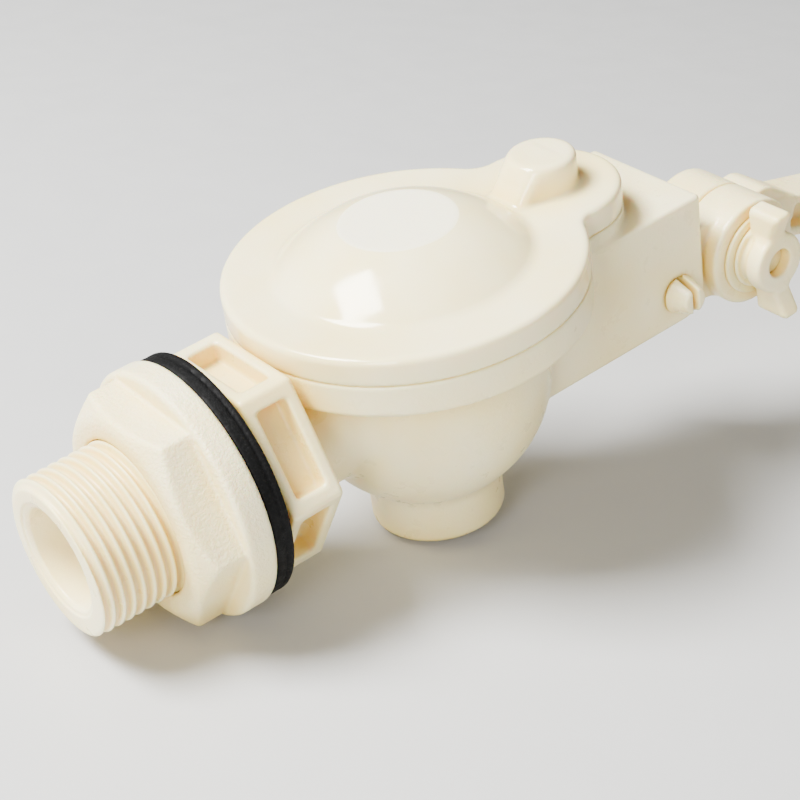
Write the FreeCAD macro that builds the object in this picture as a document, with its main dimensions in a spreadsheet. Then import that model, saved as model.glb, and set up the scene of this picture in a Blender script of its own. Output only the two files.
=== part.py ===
"""Float valve: threaded tank inlet, diaphragm valve body and a lever with an adjustable float arm.

Millimetres. +Z is up, the inlet points along -X, the float arm leaves along +X, and the origin is the
centre of the outlet mouth.
"""
import FreeCAD, Part
import math
import os
import re
import Sketcher

SIZES = {
    # heights of the valve body above the outlet mouth
    "inlet_height": 29.3, "flange_bottom": 38.8, "parting": 44.4, "cap_top": 49.1,
    # inlet tail, measured back from the outlet axis along the inlet axis
    "tail_end": 70.2, "thread_radius": 13.22, "thread_pitch": 1.814, "thread_depth": 1.1,
    "thread_root": 12.0, "relief_end": 42.0, "inlet_bore": 8.5, "neck_radius": 11.0, "neck_start": 12.0,
    "collar_back": 30.2, "collar_front": 39.9, "collar_corner": 19.45,
    "core_depth": 3.6, "core_width": 14.4, "core_wall": 2.1,
    # lock nut and tank gasket on the tail
    "gasket_back": 40.9, "gasket_front": 44.4, "gasket_radius": 20.8, "nut_bore": 13.52,
    "nut_face": 49.2, "nut_end": 56.4, "nut_flange": 21.1, "nut_corner": 20.1, "nut_turn": 27.9,
    "nut_chamfer": 2.4, "nut_nose": 16.4,
    # bowl, outlet and main seat
    "bowl_radius": 21.8, "bowl_centre": 27.0, "bowl_inside": 19.4, "bowl_throat": 16.0,
    "throat_bottom": 36.0, "throat_top": 40.4, "rim_bore": 22.0,
    "outlet_radius": 11.45, "outlet_bore": 8.3, "outlet_depth": 28.0, "seat_bore": 8.0,
    "seat_radius": 10.2, "seat_height": 41.0,
    # cap
    "cap_radius": 29.7, "dome_radius": 30.7, "dome_centre": 26.8, "dome_inside": 28.5,
    "dome_flat": 56.0, "dome_ceiling": 53.8, "edge_round": 0.9,
    "bead_outer": 26.4, "bead_inner": 23.6, "bead_half": 1.0, "web_half": 0.6,
    # pilot lobe, its boss, and the nozzle
    "lobe_half": 12.9, "lobe_bottom": 41.3, "pilot_x": 30.1, "pilot_bore": 1.0, "channel_height": 46.3,
    "boss_outer": 5.85, "boss_top": 55.0, "boss_round": 0.8,
    "runner_foot": 20.9, "runner_head": 24.8, "runner_top": 54.2, "runner_half": 4.4, "runner_round": 1.4,
    "post_radius": 4.2, "post_bottom": 29.4, "nozzle_height": 33.0, "nozzle_tip": 36.9,
    "nozzle_radius": 1.6, "nozzle_bore": 0.6, "nozzle_collar": 2.6,
    # moving pieces of the main valve
    "plate_radius": 12.5, "plate_thick": 1.6, "stem_radius": 3.0, "boss_radius": 3.4, "boss_height": 2.3,
    "web_thick": 1.6, "guide_radius": 7.7, "guide_washer": 1.6, "guide_length": 11.0, "fin_thick": 1.2,
    "spring_radius": 5.2, "spring_wire": 0.5, "spring_turns": 5.0, "cap_boss": 4.1, "cap_boss_bottom": 50.5,
    # lever housing and pivot
    "housing_end": 53.1, "housing_start": 12.0, "housing_half": 13.0, "housing_inside": 10.95,
    "housing_bottom": 18.6, "roof_bottom": 39.3, "housing_corner": 5.0,
    "pivot_x": 46.8, "pivot_z": 24.75, "pin_radius": 2.9, "pivot_hole": 2.98, "pin_end": 17.3,
    "pin_head": 4.6, "pin_head_thick": 2.0, "barb_radius": 3.6, "barb_tip": 2.3, "pin_slot": 1.3,
    "float_rise": 18.0,
    # lever
    "lever_half": 10.6, "lever_top": 33.0, "lever_end": 60.2, "lever_back": 41.6,
    "horn_front": 8.6, "horn_back": 5.3, "horn_top": 12.1, "horn_half": 5.0,
    "pad_radius": 3.4, "pad_thick": 1.6, "pad_recess": 0.6,
    # knuckle between lever and float arm
    "knuckle_x": 64.5, "knuckle_z": 25.1, "eye_radius": 9.7, "eye_gap": 0.3, "lever_eye_near": 13.9,
    "eye_split": 5.0, "arm_eye_far": 4.0, "bolt_radius": 2.45, "bolt_hole": 2.53, "bolt_end": 18.0,
    "bolt_head": 4.6, "head_depth": 3.0, "washer_radius": 7.4, "washer_thick": 0.8,
    "nut_ring": 5.9, "ring_thick": 0.7, "nut_neck": 4.7, "hub_radius": 5.5, "hub_back": 16.8,
    "hub_end": 20.2, "wing_radius": 10.6, "wing_out": 22.4, "wing_thick": 4.0, "wing_tilt": 4.0,
    # float arm, in its own frame along the arm from the knuckle axis
    "arm_tilt": 15.0, "arm_half": 4.1, "arm_length": 128.0, "arm_flange": 1.9, "arm_web": 2.4,
    "shoulder_top": 7.3, "shoulder_start": 12.3, "shoulder_end": 20.3, "tongue_start": 110.0,
    "tongue_thick": 4.0,
    # float, in the arm's frame
    "float_centre": 170.0, "float_drop": 6.0, "float_radius": 42.0, "float_half": 23.8,
    "float_wall": 2.0, "float_round": 10.0, "bead_width": 1.5, "bead_thick": 1.4,
    "lug_thick": 3.2, "lug_half": 5.2, "lug_gap": 0.2, "lug_start": 111.0,
    "screw_x": 118.0, "screw_radius": 1.95, "screw_head": 3.6, "screw_head_thick": 2.4,
    "screw_nut": 3.9, "screw_nut_thick": 3.0,
}

DIRECTIONS = {
    "+X": FreeCAD.Rotation(FreeCAD.Vector(0, 1, 0), 90),
    "-X": FreeCAD.Rotation(FreeCAD.Vector(0, 1, 0), -90),
    "+Y": FreeCAD.Rotation(FreeCAD.Vector(1, 0, 0), -90),
    "-Y": FreeCAD.Rotation(FreeCAD.Vector(1, 0, 0), 90),
    "+Z": FreeCAD.Rotation(),
}

doc = FreeCAD.newDocument("float_valve")
sheet = doc.addObject("Spreadsheet::Sheet", "sizes")
pieces = []


# ---------------------------------------------------------------- helpers

def fill_sheet():
    """Write each driving dimension into its own named cell."""
    for row, (alias, value) in enumerate(SIZES.items(), start=1):
        sheet.set("A%d" % row, alias)
        sheet.set("B%d" % row, str(value))
        sheet.setAlias("B%d" % row, alias)
    doc.recompute()


def formula(text):
    """Turn words that name a cell into references to it."""
    def reference(word):
        return "sizes." + word.group() if word.group() in SIZES else word.group()
    return re.sub(r"[a-z][a-z_]+", reference, str(text))


def bind(thing, **formulas):
    """Bind properties of an object to formulas of the sheet's cells."""
    for name, text in formulas.items():
        thing.setExpression(name.replace("__", "."), formula(text))
    return thing


def place(thing, x=0, y=0, z=0, direction="+Z"):
    """Put an object's own origin at x, y, z with its own Z axis along a row axis."""
    thing.Placement = FreeCAD.Placement(FreeCAD.Vector(), DIRECTIONS[direction])
    return bind(thing, Placement__Base__x=x, Placement__Base__y=y, Placement__Base__z=z)


def swing(thing, x, z, angle, sign=1):
    """Put an object's own origin at x, z and turn it about the row's Y axis."""
    turn = FreeCAD.Rotation(FreeCAD.Vector(0, sign, 0), SIZES[angle])
    thing.Placement = FreeCAD.Placement(FreeCAD.Vector(), turn)
    return bind(thing, Placement__Base__x=x, Placement__Base__z=z, Placement__Rotation__Angle=angle)


def cylinder(radius, height, x=0, y=0, z=0, direction="+Z"):
    made = doc.addObject("Part::Cylinder", "cylinder")
    return place(bind(made, Radius=radius, Height=height), x, y, z, direction)


def cone(radius, end_radius, height, x=0, y=0, z=0, direction="+Z"):
    made = doc.addObject("Part::Cone", "cone")
    return place(bind(made, Radius1=radius, Radius2=end_radius, Height=height), x, y, z, direction)


def ball(radius, z):
    return place(bind(doc.addObject("Part::Sphere", "ball"), Radius=radius), z=z)


def hexagon(corner, height, x=0, y=0, z=0, direction="+Z"):
    made = doc.addObject("Part::Prism", "hexagon")
    made.Polygon = 6
    return place(bind(made, Circumradius=corner, Height=height), x, y, z, direction)


def block(length, width, height, x, y, z):
    """A box from its lowest corner."""
    made = doc.addObject("Part::Box", "block")
    return place(bind(made, Length=length, Width=width, Height=height), x, y, z)


def fuse(*things):
    made = doc.addObject("Part::MultiFuse", "fused")
    made.Shapes = list(things)
    made.Refine = True
    return made


def group(thing):
    """A holder that can be placed without disturbing the thing's own placement."""
    made = doc.addObject("Part::Compound", "group")
    made.Links = [thing]
    return made


def common(*things):
    made = doc.addObject("Part::MultiCommon", "shared")
    made.Shapes = list(things)
    return made


def cut(base, *tools):
    made = doc.addObject("Part::Cut", "cut")
    made.Base = base
    made.Tool = tools[0] if len(tools) == 1 else fuse(*tools)
    return made


def rounded(base, radius, wanted):
    """Fillet the edges that the test picks, by their bounding boxes."""
    doc.recompute()
    made = doc.addObject("Part::Fillet", "rounded")
    made.Base = base
    size = SIZES[radius]
    edges = enumerate(base.Shape.Edges, start=1)
    made.Edges = [(number, size, size) for number, edge in edges if wanted(edge.BoundBox)]
    return made


def new_body():
    return doc.addObject("PartDesign::Body", "body")


def new_sketch(body, role, offset):
    """A sketch on one of the body's own origin planes, moved along the plane's normal."""
    sketch = body.newObject("Sketcher::SketchObject", "outline")
    plane = [feature for feature in body.Origin.OriginFeatures if feature.Role == role][0]
    sketch.AttachmentSupport = [(plane, "")]
    sketch.MapMode = "FlatFace"
    return bind(sketch, AttachmentOffset__Base__z=offset)


def pin_point(sketch, geometry, vertex, at, start):
    """Fix one vertex of a sketch at a pair of formulas."""
    for kind, text, value in (("DistanceX", at[0], start.x), ("DistanceY", at[1], start.y)):
        number = sketch.addConstraint(Sketcher.Constraint(kind, -1, 1, geometry, vertex, value))
        sketch.setExpression("Constraints[%d]" % number, formula(text))


def outline(body, role, points, offset=0):
    """A closed polygon whose corners are bound to formulas."""
    sketch = new_sketch(body, role, offset)
    count = len(points)
    turns = [2 * math.pi * corner / count for corner in range(count)]
    start = [FreeCAD.Vector(50 * math.cos(turn), 50 * math.sin(turn), 0) for turn in turns]
    for corner in range(count):
        sketch.addGeometry(Part.LineSegment(start[corner], start[(corner + 1) % count]))
    for corner in range(count):
        sketch.addConstraint(Sketcher.Constraint("Coincident", corner, 2, (corner + 1) % count, 1))
    for corner, at in enumerate(points):
        pin_point(sketch, corner, 1, at, start[corner])
    return sketch


def circle(body, role, at, radius, offset=0):
    """A circle whose centre and radius are bound to formulas."""
    sketch = new_sketch(body, role, offset)
    start = FreeCAD.Vector(5, 5, 0)
    sketch.addGeometry(Part.Circle(start, FreeCAD.Vector(0, 0, 1), 1))
    pin_point(sketch, 0, 3, at, start)
    number = sketch.addConstraint(Sketcher.Constraint("Radius", 0, 1))
    sketch.setExpression("Constraints[%d]" % number, formula(radius))
    return sketch


def pad(body, sketch, length, both_ways=False):
    made = body.newObject("PartDesign::Pad", "pad")
    made.Profile = sketch
    made.Midplane = both_ways
    return bind(made, Length=length)


def revolve(body, sketch, kind="PartDesign::Revolution"):
    """Revolve or groove a profile about its own vertical axis."""
    made = body.newObject(kind, "turned")
    made.Profile = sketch
    made.ReferenceAxis = (sketch, ["V_Axis"])
    made.Angle = 360
    return made


def helix(body, sketch, pitch, height, kind):
    made = body.newObject(kind, "helix")
    made.Profile = sketch
    made.ReferenceAxis = (sketch, ["V_Axis"])
    made.Mode = 0
    return bind(made, Pitch=pitch, Height=height)


def piece(name, made):
    made.Label = name
    pieces.append(made)
    return made


def hexagon_points(corner, turn):
    return [("%s * cos(%s + %d)" % (corner, turn, 60 * step), "%s * sin(%s + %d)" % (corner, turn, 60 * step))
            for step in range(6)]


# ---------------------------------------------------------------- inlet side

def inlet_tail():
    """Threaded tail, cored hex collar and neck; its own Z axis runs out along the inlet."""
    body = new_body()
    revolve(body, outline(body, "XZ_Plane", [
        ("inlet_bore", "neck_start"), ("neck_radius", "neck_start"),
        ("neck_radius", "collar_back + 1"), ("thread_root", "collar_back + 1"),
        ("thread_root", "relief_end"), ("thread_radius", "relief_end + 1.2"),
        ("thread_radius", "tail_end - 1.4"), ("thread_radius - 1.2", "tail_end"),
        ("inlet_bore + 1", "tail_end"), ("inlet_bore", "tail_end - 1")]))
    collar = outline(body, "XY_Plane", hexagon_points("collar_corner", "30"), "collar_back")
    pad(body, collar, "collar_front - collar_back")
    revolve(body, outline(body, "XZ_Plane", [
        ("0", "0"), ("inlet_bore", "0"), ("inlet_bore", "tail_end"), ("0", "tail_end")]),
        "PartDesign::Groove")
    core_floor = "collar_corner * cos(30) - core_depth"
    core = outline(body, "XY_Plane", [
        (core_floor, "-core_width / 2"), ("collar_corner", "-core_width / 2"),
        ("collar_corner", "core_width / 2"), (core_floor, "core_width / 2")], "collar_back + core_wall")
    pocket = body.newObject("PartDesign::Pocket", "core")
    pocket.Profile = core
    pocket.Reversed = True
    bind(pocket, Length="collar_front - collar_back - 2 * core_wall")
    pattern = body.newObject("PartDesign::PolarPattern", "cores")
    pattern.Originals = [pocket]
    pattern.Axis = (core, ["N_Axis"])
    pattern.Angle = 360
    pattern.Occurrences = 6
    body.Tip = pattern
    groove_half = "thread_pitch / 2"
    thread = outline(body, "XZ_Plane", [
        ("thread_radius - thread_depth", "relief_end - 0.7 - 0.15"),
        ("thread_radius - thread_depth", "relief_end - 0.7 + 0.15"),
        ("thread_radius + 0.2", "relief_end - 0.7 + %s - 0.15" % groove_half),
        ("thread_radius + 0.2", "relief_end - 0.7 - %s + 0.15" % groove_half)])
    helix(body, thread, "thread_pitch", "tail_end - relief_end + 2.2", "PartDesign::SubtractiveHelix")
    place(body, z="inlet_height", direction="-X")
    flange = cylinder("cap_radius", "parting - flange_bottom", z="flange_bottom")
    return cut(body, ball("bowl_radius", "bowl_centre"), flange)


def tank_gasket():
    body = new_body()
    revolve(body, outline(body, "XZ_Plane", [
        ("nut_bore + 0.2", "gasket_back"), ("gasket_radius - 0.4", "gasket_back"),
        ("gasket_radius", "gasket_back + 0.4"), ("gasket_radius", "gasket_front - 0.4"),
        ("gasket_radius - 0.4", "gasket_front"), ("nut_bore + 0.2", "gasket_front")]))
    return place(body, z="inlet_height", direction="-X")


def lock_nut():
    """Flanged hex nut with a turned nose; its bore runs clear over the thread crests."""
    body = new_body()
    revolve(body, outline(body, "XZ_Plane", [
        ("nut_bore", "gasket_front"), ("nut_flange - 0.5", "gasket_front"),
        ("nut_flange", "gasket_front + 0.5"), ("nut_flange", "nut_face - 0.8"),
        ("nut_flange - 0.8", "nut_face"), ("nut_bore", "nut_face")]))
    pad(body, outline(body, "XY_Plane", hexagon_points("nut_corner", "nut_turn"), "nut_face - 1"),
        "nut_end - nut_face + 1")
    revolve(body, outline(body, "XZ_Plane", [
        ("0", "gasket_front - 1"), ("nut_bore", "gasket_front - 1"), ("nut_bore", "nut_end + 1"),
        ("0", "nut_end + 1")]), "PartDesign::Groove")
    revolve(body, outline(body, "XZ_Plane", [
        ("nut_nose", "nut_end"), ("nut_corner + 0.4", "nut_end - nut_chamfer"),
        ("nut_corner + 3", "nut_end - nut_chamfer"), ("nut_corner + 3", "nut_end + 1"),
        ("nut_nose", "nut_end + 1")]), "PartDesign::Groove")
    return place(body, z="inlet_height", direction="-X")


# ---------------------------------------------------------------- valve body and cap

def lobe(bottom, height):
    """Round-ended lobe over the pilot passage, with the round flange that it grows from."""
    return [cylinder("cap_radius", height, z=bottom),
            block("pilot_x", "2 * lobe_half", height, 0, "-lobe_half", bottom),
            cylinder("lobe_half", height, x="pilot_x", z=bottom)]


def valve_bowl():
    """Bowl, flange, outlet spout and the standpipe that ends in the main seat."""
    lobe_height = "parting - lobe_bottom"
    outside = fuse(
        ball("bowl_radius", "bowl_centre"), cylinder("outlet_radius", "bowl_centre / 2"),
        cylinder("cap_radius", "parting - flange_bottom", z="flange_bottom"),
        *lobe("lobe_bottom", lobe_height))
    above = cylinder("cap_radius", "cap_radius", z="parting")
    sphere_part = common(ball("bowl_inside", "bowl_centre"), cylinder("bowl_inside", "throat_bottom + 1.9"))
    chamber = fuse(
        sphere_part, cylinder("bowl_throat", "throat_top - throat_bottom + 1", z="throat_bottom"),
        cylinder("rim_bore", "parting - throat_top + 1", z="throat_top"),
        cylinder("bead_outer", "bead_half + 1", z="parting - bead_half"))
    water_space = cut(chamber, cylinder("seat_radius", "seat_height"))
    bore = fuse(cylinder("outlet_bore", "outlet_depth + 1", z=-1), cylinder("seat_bore", "seat_height + 1"))
    inlet = cylinder("inlet_bore", "bowl_radius", x="-seat_radius - 2.5", z="inlet_height", direction="-X")
    pilot = cylinder("pilot_bore", "parting", x="pilot_x", z="lobe_bottom - 1")
    return cut(outside, above, water_space, bore, inlet, pilot)


def lever_housing():
    """Open-ended box for the lever, with the pilot post hanging from its roof."""
    shell = block("housing_end - housing_start", "2 * housing_half", "lobe_bottom - housing_bottom",
                  "housing_start", "-housing_half", "housing_bottom")
    end, bottom = SIZES["housing_end"], SIZES["housing_bottom"]
    shell = rounded(shell, "housing_corner", lambda box: box.XMin > end - 0.01 and box.ZMax < bottom + 0.01)
    inside = block("housing_end", "2 * housing_inside", "roof_bottom - housing_bottom + 1",
                   "housing_start - 1", "-housing_inside", "housing_bottom - 1")
    post = cylinder("post_radius", "lobe_bottom - post_bottom", x="pilot_x", z="post_bottom")
    walls = fuse(cut(shell, inside), post)
    pivot = cylinder("pivot_hole", "2 * housing_half + 2", x="pivot_x", y="housing_half + 1", z="pivot_z",
                     direction="-Y")
    down = cylinder("pilot_bore", "lobe_bottom", x="pilot_x", z="nozzle_height")
    across = cylinder("nozzle_radius", "post_radius + 1", x="pilot_x", z="nozzle_height", direction="+X")
    flange = cylinder("cap_radius", "lobe_bottom", z="flange_bottom")
    return cut(walls, ball("bowl_radius", "bowl_centre"), flange, pivot, down, across)


def cap():
    """Cover with its dome, the round boss on its pilot lobe and the short runner between them."""
    plate = fuse(*lobe("parting", "cap_top - parting"))
    top = SIZES["cap_top"]
    plate = rounded(plate, "edge_round", lambda box: box.ZMin > top - 0.01)
    dome = common(ball("dome_radius", "dome_centre"),
                  cylinder("cap_radius", "dome_flat - parting", z="parting"))
    body = new_body()
    pad(body, outline(body, "XZ_Plane", [
        ("runner_foot", "cap_top - 1"), ("runner_foot", "cap_top"), ("runner_head", "runner_top"),
        ("pilot_x - 2", "runner_top"), ("pilot_x - 2", "cap_top - 1")]), "2 * runner_half", both_ways=True)
    foot = SIZES["cap_top"] + 1
    runner = rounded(body, "runner_round", lambda box: box.ZMax > foot and box.YLength < 0.01
                     and box.XMin < SIZES["runner_head"] + 3)
    boss = cylinder("boss_outer", "boss_top - cap_top", x="pilot_x", z="cap_top")
    boss_top = SIZES["boss_top"]
    boss = rounded(boss, "boss_round", lambda box: box.ZMin > boss_top - 0.01)
    inside = cut(common(ball("dome_inside", "dome_centre"),
                        cylinder("cap_radius", "dome_ceiling - parting", z="parting")),
                 cylinder("cap_boss", "dome_flat", z="cap_boss_bottom"))
    recess = cylinder("bead_outer", "bead_half + 1", z="parting - 1")
    down = cylinder("pilot_bore", "channel_height - parting + 1", x="pilot_x", z="parting - 1")
    across = cylinder("pilot_bore", "pilot_x - rim_bore + 4", x="rim_bore - 4", z="channel_height",
                      direction="+X")
    return cut(fuse(plate, dome, runner, boss), inside, recess, down, across)


def pilot_nozzle():
    length = "nozzle_tip - pilot_x - 1.2"
    tube = cylinder("nozzle_radius", length, x="pilot_x + 1.2", z="nozzle_height", direction="+X")
    collar = cylinder("nozzle_collar", "0.8", x="pilot_x + post_radius", z="nozzle_height", direction="+X")
    bore = cylinder("nozzle_bore", "20", x="pilot_x", z="nozzle_height", direction="+X")
    return cut(fuse(tube, collar), bore)


# ---------------------------------------------------------------- main valve inside

def diaphragm():
    """Rubber disc with a thick clamped bead and a slack conical web down to the seat."""
    body = new_body()
    inner_top = "seat_height + web_thick"
    revolve(body, outline(body, "XZ_Plane", [
        ("bead_outer", "parting - bead_half"), ("bead_outer", "parting + bead_half"),
        ("bead_inner", "parting + bead_half"), ("bead_inner", "parting + web_half"),
        ("rim_bore - 1.6", "parting + web_half"), ("plate_radius + 1.5", inner_top),
        ("stem_radius", inner_top), ("stem_radius", "seat_height"),
        ("plate_radius + 1.5", "seat_height"), ("rim_bore - 1.6", "parting - web_half"),
        ("bead_inner", "parting - web_half"), ("bead_inner", "parting - bead_half")]))
    return body


def diaphragm_plate():
    base = "seat_height + web_thick"
    disc = cylinder("plate_radius", "plate_thick", z=base)
    boss = cylinder("boss_radius", "plate_thick + boss_height", z=base)
    stem = cylinder("stem_radius", "web_thick + guide_length", z="seat_height - guide_length")
    return fuse(disc, boss, stem)


def valve_guide():
    """Washer under the diaphragm with three fins that run in the outlet bore."""
    bottom = "seat_height - guide_length"
    washer = cylinder("guide_radius", "guide_washer", z="seat_height - guide_washer")
    hub = cylinder("stem_radius + 1.2", "guide_length", z=bottom)
    fins = []
    for number in range(3):
        fin = doc.addObject("Part::Box", "fin")
        bind(fin, Length="guide_radius", Width="fin_thick", Height="guide_length")
        turn = FreeCAD.Rotation(FreeCAD.Vector(0, 0, 1), 120 * number)
        side = turn.multVec(FreeCAD.Vector(0, -SIZES["fin_thick"] / 2, 0))
        fin.Placement = FreeCAD.Placement(side, turn)
        fins.append(bind(fin, Placement__Base__z=bottom))
    round_off = common(fuse(*fins), cylinder("guide_radius", "guide_length", z=bottom))
    return cut(fuse(washer, hub, round_off), cylinder("stem_radius", "seat_height", z="bowl_radius"))


def return_spring():
    body = new_body()
    low = "seat_height + web_thick + plate_thick + spring_wire"
    wire = circle(body, "XZ_Plane", ("spring_radius", low), "spring_wire")
    height = "dome_ceiling - spring_wire - (%s)" % low
    helix(body, wire, "(%s) / spring_turns" % height, height, "PartDesign::AdditiveHelix")
    return body


# ---------------------------------------------------------------- lever and pivot

def pivot_pin():
    """Headed pin with a split, barbed snap end on the near side."""
    far = "housing_half + 0.1"
    head = cylinder("pin_head", "pin_head_thick", x="pivot_x", y=far, z="pivot_z", direction="+Y")
    shank = cylinder("pin_radius", "housing_half + %s + 0.4" % far, x="pivot_x", y=far, z="pivot_z",
                     direction="-Y")
    barb = cone("barb_radius", "barb_tip", "pin_end - housing_half - 0.3", x="pivot_x",
                y="-housing_half - 0.3", z="pivot_z", direction="-Y")
    slot = block("pin_slot", "7", "4 * barb_radius", "pivot_x - pin_slot / 2", "-pin_end - 1",
                 "pivot_z - 2 * barb_radius")
    return cut(fuse(head, shank, barb), slot)


def lever():
    """Block on the pivot with a horn for the pilot pad and a round eye for the knuckle."""
    body = new_body()
    pad(body, outline(body, "XZ_Plane", [
        ("lever_back", "pivot_z - 4.6"), ("pivot_x + 2", "pivot_z - 5.6"),
        ("lever_end - 3", "knuckle_z - eye_radius + 1.4"), ("lever_end", "knuckle_z - eye_radius + 0.4"),
        ("lever_end", "lever_top"), ("lever_back", "lever_top")]), "2 * lever_half", both_ways=True)
    eye = cylinder("eye_radius", "lever_eye_near - eye_split", x="knuckle_x", y="-eye_split",
                   z="knuckle_z", direction="-Y")
    horn_block = block("horn_front - horn_back", "2 * horn_half", "horn_top + 2", "-horn_front",
                       "-horn_half", -2)
    pad_seat = cylinder("pad_radius", "pad_recess + 1", x="-horn_front + pad_recess",
                        z="nozzle_height - pivot_z", direction="-X")
    horn = swing(cut(horn_block, pad_seat), "pivot_x", "pivot_z", "float_rise")
    pivot = cylinder("pivot_hole", "4 * lever_half", x="pivot_x", y="2 * lever_half", z="pivot_z",
                     direction="-Y")
    bolt = cylinder("bolt_hole", "20", x="knuckle_x", y=0, z="knuckle_z", direction="-Y")
    arm_room = cylinder("eye_radius + 0.5", "eye_split + lever_half + 1 - eye_gap / 2", x="knuckle_x",
                        y="lever_half + 1", z="knuckle_z", direction="-Y")
    front_room = block("20", "eye_split + lever_half + 1 - eye_gap / 2", "40", "knuckle_x",
                       "-eye_split + eye_gap / 2", "knuckle_z - 20")
    return cut(fuse(body, eye, horn), pivot, bolt, arm_room, front_room)


def pilot_pad():
    disc = cylinder("pad_radius", "pad_thick", x="-horn_front + pad_recess", z="nozzle_height - pivot_z",
                    direction="-X")
    return swing(group(disc), "pivot_x", "pivot_z", "float_rise")


# ---------------------------------------------------------------- knuckle

def knuckle_bolt():
    head = hexagon("bolt_head", "head_depth", y="arm_eye_far", direction="-Y")
    shank = cylinder("bolt_radius", "arm_eye_far + bolt_end", y="arm_eye_far", direction="-Y")
    return at_arm(fuse(head, shank))


def knuckle_washer():
    disc = cylinder("washer_radius", "washer_thick", x="knuckle_x", y="-lever_eye_near", z="knuckle_z",
                    direction="-Y")
    return cut(disc, cylinder("bolt_hole", "40", x="knuckle_x", y=0, z="knuckle_z", direction="-Y"))


def wing_nut():
    """Round hub with a base ring, a groove and two wings, tilted as it was left after tightening."""
    base = "-lever_eye_near - washer_thick"
    ring = cylinder("nut_ring", "ring_thick", y=base, direction="-Y")
    neck = cylinder("nut_neck", "hub_end + (%s)" % base, y=base, direction="-Y")
    hub = cylinder("hub_radius", "hub_end - hub_back", y="-hub_back", direction="-Y")
    wing_back = "lever_eye_near + washer_thick + ring_thick"
    wings = new_body()
    pad(wings, outline(wings, "YZ_Plane", [
        ("-(%s)" % wing_back, "-wing_radius"), ("-wing_out", "-wing_radius"), ("-hub_end", "-hub_radius"),
        ("-hub_end", "hub_radius"), ("-wing_out", "wing_radius"), ("-(%s)" % wing_back, "wing_radius")]),
        "wing_thick", both_ways=True)
    bore = cylinder("bolt_hole", "40", y=0, direction="-Y")
    nut = cut(fuse(ring, neck, hub, wings), bore)
    return swing(nut, "knuckle_x", "knuckle_z", "wing_tilt", sign=-1)


# ---------------------------------------------------------------- float arm and float

def at_arm(made):
    """Move a shape from the arm's own frame to the knuckle."""
    return swing(made, "knuckle_x", "knuckle_z", "arm_tilt")


def float_arm():
    """I-section arm with a round eye, a sloping shoulder and a flat tongue for the float."""
    width = "eye_split + arm_eye_far - eye_gap / 2"
    middle = "(eye_split - eye_gap / 2 - arm_eye_far) / 2"
    body = new_body()
    half = outline(body, "XZ_Plane", [
        ("0", "-arm_half"), ("tongue_start", "-arm_half"), ("tongue_start", "arm_half"),
        ("shoulder_end", "arm_half"), ("shoulder_start", "shoulder_top"),
        ("shoulder_start - 2.6", "shoulder_top - 0.4"), ("6", "arm_half"), ("0", "arm_half")], middle)
    pad(body, half, width, both_ways=True)
    hollows = []
    for side, start in (("near", "-eye_split + eye_gap / 2 - 1"), ("far", "arm_web / 2 - (%s)" % middle)):
        depth = "(%s - arm_web) / 2 + 1" % width
        hollows.append(block("tongue_start - shoulder_end - 4", depth, "2 * arm_half - 2 * arm_flange",
                             "shoulder_end", start, "-arm_half + arm_flange"))
    eye = cylinder("eye_radius", width, y="arm_eye_far", direction="-Y")
    tongue = block("arm_length - tongue_start + 1", "tongue_thick", "2 * arm_half", "tongue_start - 1",
                   "-(%s) - tongue_thick / 2" % middle, "-arm_half")
    bolt = cylinder("bolt_radius", "40", y=20, direction="-Y")
    head = hexagon("bolt_head", "20", y="arm_eye_far - head_depth + 20", direction="-Y")
    screw = cylinder("screw_radius", "40", x="screw_x", y=20, direction="-Y")
    return at_arm(cut(fuse(cut(body, *hollows), eye, tongue), bolt, head, screw))


def float_shell(sign):
    """One half of the hollow float, above the weld plane for sign 1 and below it for sign -1."""
    body = new_body()
    weld = "-float_drop"
    top = "%s + %d * float_half" % (weld, sign)
    bead = "%s + %d * bead_thick" % (weld, sign)
    ceiling = "%s + %d * (float_half - float_wall)" % (weld, sign)
    shoulder = "%s + %d * (float_half - float_round)" % (weld, sign)
    revolve(body, outline(body, "XZ_Plane", [
        ("0", ceiling), ("0", top), ("float_radius - float_round", top), ("float_radius", shoulder),
        ("float_radius", bead), ("float_radius + bead_width", bead), ("float_radius + bead_width", weld),
        ("float_radius - float_wall", weld), ("float_radius - float_wall", shoulder),
        ("float_radius - float_wall - float_round + 1", ceiling)]))
    return place(body, x="float_centre", y="-(eye_split - eye_gap / 2 - arm_eye_far) / 2")


def float_upper():
    """Upper shell with the two lugs that take the arm's tongue."""
    middle = "-(eye_split - eye_gap / 2 - arm_eye_far) / 2"
    lugs = []
    for start in ("%s - tongue_thick / 2 - lug_gap - lug_thick" % middle,
                  "%s + tongue_thick / 2 + lug_gap" % middle):
        lugs.append(block("float_centre - float_radius + 6 - lug_start", "lug_thick", "2 * lug_half - 0.5",
                          "lug_start", start, "-lug_half + 0.5"))
    inner = cylinder("float_radius - float_wall / 2", "2 * float_half", x="float_centre", y=middle,
                     z="-float_half")
    screw = cylinder("screw_radius", "40", x="screw_x", y=20, direction="-Y")
    return at_arm(cut(fuse(float_shell(1), cut(fuse(*lugs), inner)), screw))


def float_lower():
    return at_arm(group(float_shell(-1)))


def screw_face():
    """Distance of the lugs' outer faces from the middle of the tongue."""
    return "tongue_thick / 2 + lug_gap + lug_thick"


def float_screw():
    middle = "-(eye_split - eye_gap / 2 - arm_eye_far) / 2"
    near = "%s - (%s)" % (middle, screw_face())
    head = cylinder("screw_head", "screw_head_thick", x="screw_x", y=near, direction="-Y")
    shank = cylinder("screw_radius", "2 * (%s) + screw_nut_thick + 0.8" % screw_face(), x="screw_x",
                     y=near, direction="+Y")
    drive = block("5", "1.2", "0.9", "screw_x - 2.5", "%s - screw_head_thick - 0.2" % near, "-0.45")
    return at_arm(cut(fuse(head, shank), drive))


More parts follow.
